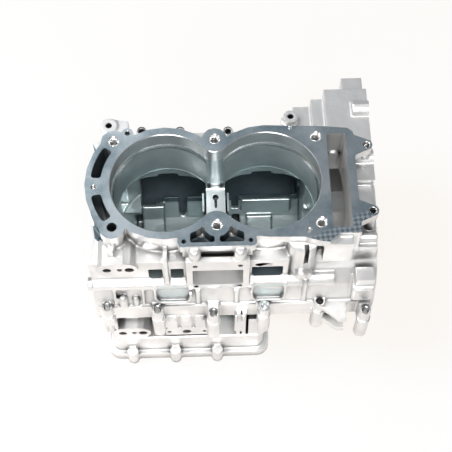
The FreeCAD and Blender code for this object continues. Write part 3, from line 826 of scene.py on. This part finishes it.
def frame_ridge(x0, x1):
    """Raised U-shaped rim of a panel on the sloping wall under the gallery."""
    path = [(x0, *GALLERY_EDGE), (x0, *PANEL_KNEE), (x0 + 4, *PANEL_FOOT),
            (x1 - 4, *PANEL_FOOT), (x1, *PANEL_KNEE), (x1, *GALLERY_EDGE)]
    return ridge(path, RIB_R)


def screw_column(x):
    """Round column over one upper screw of the intake flange, domed at the top."""
    return turned("z", (x, COLUMN_Y, 0), [(86, 6.4), (114, 6.0), (117, 4.0)], 24)


# %% Ribs, columns and bosses, with what each one is on the real casting
bare_mark = oval_disc((-65, 99), 8.5, 5.5, UNDER_DECK_Y + 1, UNDER_DECK_Y - 2)
mark_rib = ridge([(-101, UNDER_DECK_Y, 116), (-101, UNDER_DECK_Y - 4, 94)], 2.0)
clip_bosses = [turned("z", (-97, -84, 0), [(12, 5.2), (30, 4.4), (33, 2.5)], 20),
               turned("z", (-84, -83, 0), [(12, 4.0), (27, 3.4), (29, 2.0)], 20)]
left_ribs = [ridge([(-105, -79, 47), (-105, -86, 20)], RIB_R),
             ridge([(-76, -79, 47), (-76, -87, 18)], RIB_R)]
column_boss = turned("y", (83, 0, 67), [(-82.5, 3.5), (-81, 5.8), (-72, 6.2)], 24)
corner_box = block((103, -70, 76), (131, UNDER_DECK_Y, 114))
right_block = block((138, -85, 42), (157, -70, 61))
chain_guide_boss = turned("y", (122, 0, 79), [(47, 5.5), (48.5, 8.0), (56, 8.2)], 24)
upper_forms = [scaled(shell) for shell in (
    bare_mark, mark_rib, screw_column(-COLUMN_X), screw_column(COLUMN_X),
    frame_ridge(-64, -28), frame_ridge(34, 68), *clip_bosses, *left_ribs,
    column_boss, corner_box, right_block, chain_guide_boss)]

column_notch = scaled(block((84, -84, 82), (88.5, -66, 112)))
web_recess = scaled(oval_disc((46, 77), 9, 4, -67, -80))
# The slot's cutter carries the near-black material, which paints shadow inside the slot.
bore_slot = scaled(block((-108, -13, 74), (-98, -3, 82), PAINTED_SHADOW_DARK))
print(len(upper_forms), "small forms joined to the upper casting, 3 recesses cut in it")

# %% [markdown]
# ### Painted shade in hollows
# The coolant slots, the deep recesses and the inside get darker, smoother materials, painted shade
# for the hollows they sit in. Each zone is a box in millimetres with its finish, and the
# first box that holds a cast face decides. A few faces outside the walls lie in the boxes as well.

# %% Painted-shade zones of the upper casting
UPPER_SHADE_ZONES = [
    ((-122, -50, 52), (-107, 50, 119.9), PAINTED_SHADOW_DARK),      # coolant slots
    ((-28, -68, 95), (28, -54, 119.9), PAINTED_SHADOW_DARK),        # coolant windows
    ((-70, -71.5, 48), (-28, -58, 80), PAINTED_SHADE_INNER),       # left recesses
    ((33, -71.5, 48), (67, -58, 80), PAINTED_SHADOW_DARK),          # right recess
    ((-62, -86, 24), (-30, -78.5, 47), PAINTED_SHADE_INNER),       # left panel
    ((36, -86, 24), (66, -78.5, 47), PAINTED_SHADE_INNER),         # right panel
    ((-112, -64, -5), (106, 79, 57), PAINTED_SHADE_INNER),         # crank chamber
]

# %% Remesh, round and machine the upper casting
def outer_block(low, high, axis, level, sign, thick=5 * MM, margin=8 * MM, finish=MILLED):
    """Box outside a milled plane, as wide as the part and a margin."""
    corner0 = [c - margin for c in low]
    corner1 = [c + margin for c in high]
    corner0[axis], corner1[axis] = sorted((level, level + sign * thick))
    return block(corner0, corner1, finish)


def face_block(bm, axis, level, sign, zone, finish):
    """Box outside one milled pad, from the outline of its face and a small margin."""
    points = np.array([v.co for f in faces_on(bm, axis, level, sign, zone) for v in f.verts])
    return outer_block(points.min(0), points.max(0), axis, level, sign, 5 * MM, 2.5 * MM, finish)


hole_plugs, hole_tools = [], []
for place, (axis, sign, holes, reach) in drilled.items():
    for centre, radius, depth in hole_depths(upper_tree, axis, sign, holes, reach):
        hole_plugs.append(hole_plug(axis, sign, centre, radius, depth))
        hole_tools.append(drill(axis, sign, centre, radius, depth, radius > 4.8 * MM and place == "deck"))

pads = [face_block(upper, 1, flange_centre.y, -1, None, LIGHT), face_block(upper, 1, pad_face_y, -1, None, LIGHT)]
web_top = 46 * MM
web_reach = Vector((9.9 * MM, 31 * MM, 0))


def on_web(centre):
    return abs(centre.x) < web_reach.x and abs(centre.y) < web_reach.y


for axis, level, sign, zone in ((2, deck_z, 1, None), (2, 0.0, -1, None), (0, upper_low.x, -1, None),
                                (0, upper_high.x, 1, None), (1, flange_centre.y, -1, None),
                                (1, pad_face_y, -1, None), (2, web_top, 1, on_web)):
    add_stock(upper, axis, level, sign, zone)

upper_casting = soft_casting("upper_casting", upper, hole_plugs + pocket_plugs() + upper_forms)
machine(upper_casting, "milled_faces", pads + [
    outer_block(upper_low, upper_high, 2, deck_z, 1),
    outer_block(upper_low, upper_high, 2, 0.0, -1, finish=LIGHT),
])
machine(upper_casting, "milled_ends", [
    outer_block(upper_low, upper_high, 0, upper_low.x, -1, finish=LIGHT),
    outer_block(upper_low, upper_high, 0, upper_high.x, 1, finish=LIGHT),
    block((-web_reach.x, -web_reach.y, web_top), (web_reach.x, web_reach.y, web_top + 4 * MM), LIGHT),
])
machine(upper_casting, "liner_pocket", [loft(
    [pocket_outline(0, seat_z), pocket_outline(0, deck_z - edge_break),
     pocket_outline(edge_break + 3 * MM, deck_z + 3 * MM)], [POCKET, BRIGHT])])
machine(upper_casting, "spigot_left", [spigot_tool(left_bore)])
machine(upper_casting, "spigot_right", [spigot_tool(right_bore)])
machine(upper_casting, "bore_neck", [
    loft([neck_outline(0, spigot_foot - 1 * MM), neck_outline(0, seat_z + 0.5 * MM)], BORED)])
machine(upper_casting, "drilled_holes", hole_tools)
machine(upper_casting, "recesses", [bore_slot, column_notch, web_recess])
# Paint shade into the slots, recesses, panels and chamber, zone by zone.
for low, high, finish in UPPER_SHADE_ZONES:
    paint_shade_zone(upper_casting, low, high, finish)
finish_casting(upper_casting, "upper_case")

# %% [markdown]
# ## Lower casting
# It carries the other half of each bearing, the oil tray seen through the bores, and the sump
# flange. Its milled faces are the joint, the sump face, the two ends and the second oval pad.

# %% Painted-shade zones of the lower casting
LOWER_SHADE_ZONES = [
    ((-112, 58, -56), (106, 100, -12), PAINTED_SHADOW_DARK),        # floor of the balancer chamber
    ((-112, -70, -80), (106, 79, 5), PAINTED_SHADE_INNER),         # crank chamber and oil tray
]

# %% Remesh, round and machine the lower casting
lower = merged_copy("lower_case")
lower_tree = BVHTree.FromBMesh(lower)
lower_low, lower_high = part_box("lower_case")
low_pad_y = -90 * MM
tab_foot_z = -40 * MM
low_plugs, low_tools = [], []
for axis, level, sign, reach in (("y", low_pad_y, -1, 30 * MM), ("z", tab_foot_z, -1, 43 * MM)):
    for centre, radius, depth in hole_depths(lower_tree, axis, sign, round_holes(lower, axis, level, sign), reach):
        low_plugs.append(hole_plug(axis, sign, centre, radius, depth))
        low_tools.append(drill(axis, sign, centre, radius, depth, False))

low_pads = [face_block(lower, 1, low_pad_y, -1, None, LIGHT)]
for axis, level, sign in ((2, 0.0, 1), (2, sump_z, -1), (0, lower_low.x, -1), (0, lower_high.x, 1),
                          (1, low_pad_y, -1)):
    add_stock(lower, axis, level, sign)

bracket_front, bracket_back = -95, -86  # y in millimetres
slot_bracket = [block((17, bracket_front, -54), (19.6, bracket_back, -4)),
                block((24.4, bracket_front, -54), (27, bracket_back, -4)),
                block((17, bracket_front, -56), (27, bracket_back, -53))]
lower_casting = soft_casting("lower_casting", lower, low_plugs + [scaled(shell) for shell in slot_bracket])
machine(lower_casting, "low_milled_faces", low_pads + [
    outer_block(lower_low, lower_high, 2, 0.0, 1, finish=LIGHT),
    outer_block(lower_low, lower_high, 2, sump_z, -1, finish=LIGHT),
])
machine(lower_casting, "low_milled_ends", [
    outer_block(lower_low, lower_high, 0, lower_low.x, -1, finish=LIGHT),
    outer_block(lower_low, lower_high, 0, lower_high.x, 1, finish=LIGHT),
])
machine(lower_casting, "low_drilled_holes", low_tools)
# Paint shade into the balancer chamber and the crank chamber, zone by zone.
for low, high, finish in LOWER_SHADE_ZONES:
    paint_shade_zone(lower_casting, low, high, finish)
finish_casting(lower_casting, "lower_case")

# %% [markdown]
# ## Bolts, plug and pins
# The case bolts are hexagon bolts with a pressed washer face. The chamfer on a real bolt head is a
# cone that meets the six flats, which leaves the curved corners. The head here is built the same
# way: each corner's height comes from where the cone reaches it.

# %% Hexagon flange bolt
def hexagon_reach(turn, apothem):
    """Distance to a hexagon's side in a direction: the apothem over the cosine of the angle to the
    nearest flat."""
    return apothem / np.cos((turn + np.pi / 6) % (np.pi / 3) - np.pi / 6)


def hex_bolt(name, node, count=72):
    points = np.array([v.co for v in frame["nodes"][node].data.vertices])
    levels = np.unique(points[:, 2].round(5))
    low, seat, high = levels[0], levels[1], levels[-1]
    centre = (points.min(0) + points.max(0)) / 2
    reach = np.hypot(points[:, 0] - centre[0], points[:, 1] - centre[1])
    corner, shank = reach.max(), reach[np.abs(points[:, 2] - (high if high - seat > seat - low else low)) < 1e-5].max()
    head_up = 1 if high - seat < seat - low else -1
    head = (high - seat) if head_up > 0 else (seat - low)
    length = (seat - low) if head_up > 0 else (high - seat)
    turn = np.linspace(0, 2 * np.pi, count, endpoint=False)
    apothem = corner * math.cos(math.pi / 6)
    hexagon = hexagon_reach(turn, apothem * 0.93)
    top_r = apothem * 0.86
    washer = head * 0.2
    slope = math.tan(math.radians(30))
    rings = []

    def ring(radius, height):
        radius = np.broadcast_to(radius, count)
        height = np.broadcast_to(height, count)
        rings.append(np.stack([centre[0] + radius * np.cos(turn), centre[1] + radius * np.sin(turn),
                               seat + head_up * height], 1))

    ring(shank * 0.7, -length)
    ring(shank, -length + shank * 0.3)
    for k in range(int(length * 0.4 / (1.2 * MM))):
        start = -length + shank * 0.3 + k * 1.2 * MM
        ring(shank * 0.86, start + 0.6 * MM)
        ring(shank, start + 1.2 * MM)
    ring(shank, 0)
    ring(corner * 0.96, 0)
    ring(corner * 0.99, washer * 0.35)
    ring(corner * 0.97, washer * 0.8)
    ring(np.minimum(hexagon * 1.02, corner * 0.96), washer)
    ring(hexagon, washer * 1.3)
    ring(hexagon, head - np.maximum(hexagon - top_r, 0) * slope - head * 0.03)
    ring(top_r, head)
    ring(top_r * 0.72, head)
    ring(top_r * 0.62, head - head * 0.08)
    if head_up < 0:
        rings = [r[::-1] for r in rings]
    item = shell_object(name, [loft(rings)])
    item.data.materials.clear()
    item.data.materials.append(steel)
    item.data.polygons.foreach_set("material_index", [0] * len(item.data.polygons))
    item.data.polygons.foreach_set("use_smooth", [True] * len(item.data.polygons))
    item.data.set_sharp_from_angle(angle=math.radians(35))
    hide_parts(node)
    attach(item, "root")
    return item


bolt_nodes = sorted(n for n in frame["nodes"] if "bolt" in n)
bolts = [hex_bolt(node + "_fitted", node) for node in bolt_nodes]
print(len(bolts), "bolts, each", len(bolts[0].data.polygons), "faces")


# %% Gallery plug and dowel pins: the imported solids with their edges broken
def dressed(node, material):
    bm = merged_copy(node)
    mesh = bpy.data.meshes.new(node + "_dressed")
    bm.to_mesh(mesh)
    bm.free()
    item = bpy.data.objects.new(node + "_dressed", mesh)
    bpy.context.scene.collection.objects.link(item)
    mesh.materials.append(material)
    bevel = item.modifiers.new("edge_break", "BEVEL")
    bevel.width = 0.35 * MM
    bevel.segments = 2
    bevel.limit_method = "ANGLE"
    bevel.angle_limit = math.radians(40)
    mesh.polygons.foreach_set("use_smooth", [True] * len(mesh.polygons))
    mesh.set_sharp_from_angle(angle=math.radians(40))
    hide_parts(node)
    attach(item, "root")
    return item


plug = dressed("gallery_plug", light_face)
pins = [dressed(node, steel) for node in sorted(frame["nodes"]) if node.startswith("dowel")]

# %% Print both boxes
final_bounds = [list(corner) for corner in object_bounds()]
for label, corners in (("construction", cad_bounds), ("dressed", final_bounds)):
    print(label, [[round(c / MM, 2) for c in corner] for corner in corners])
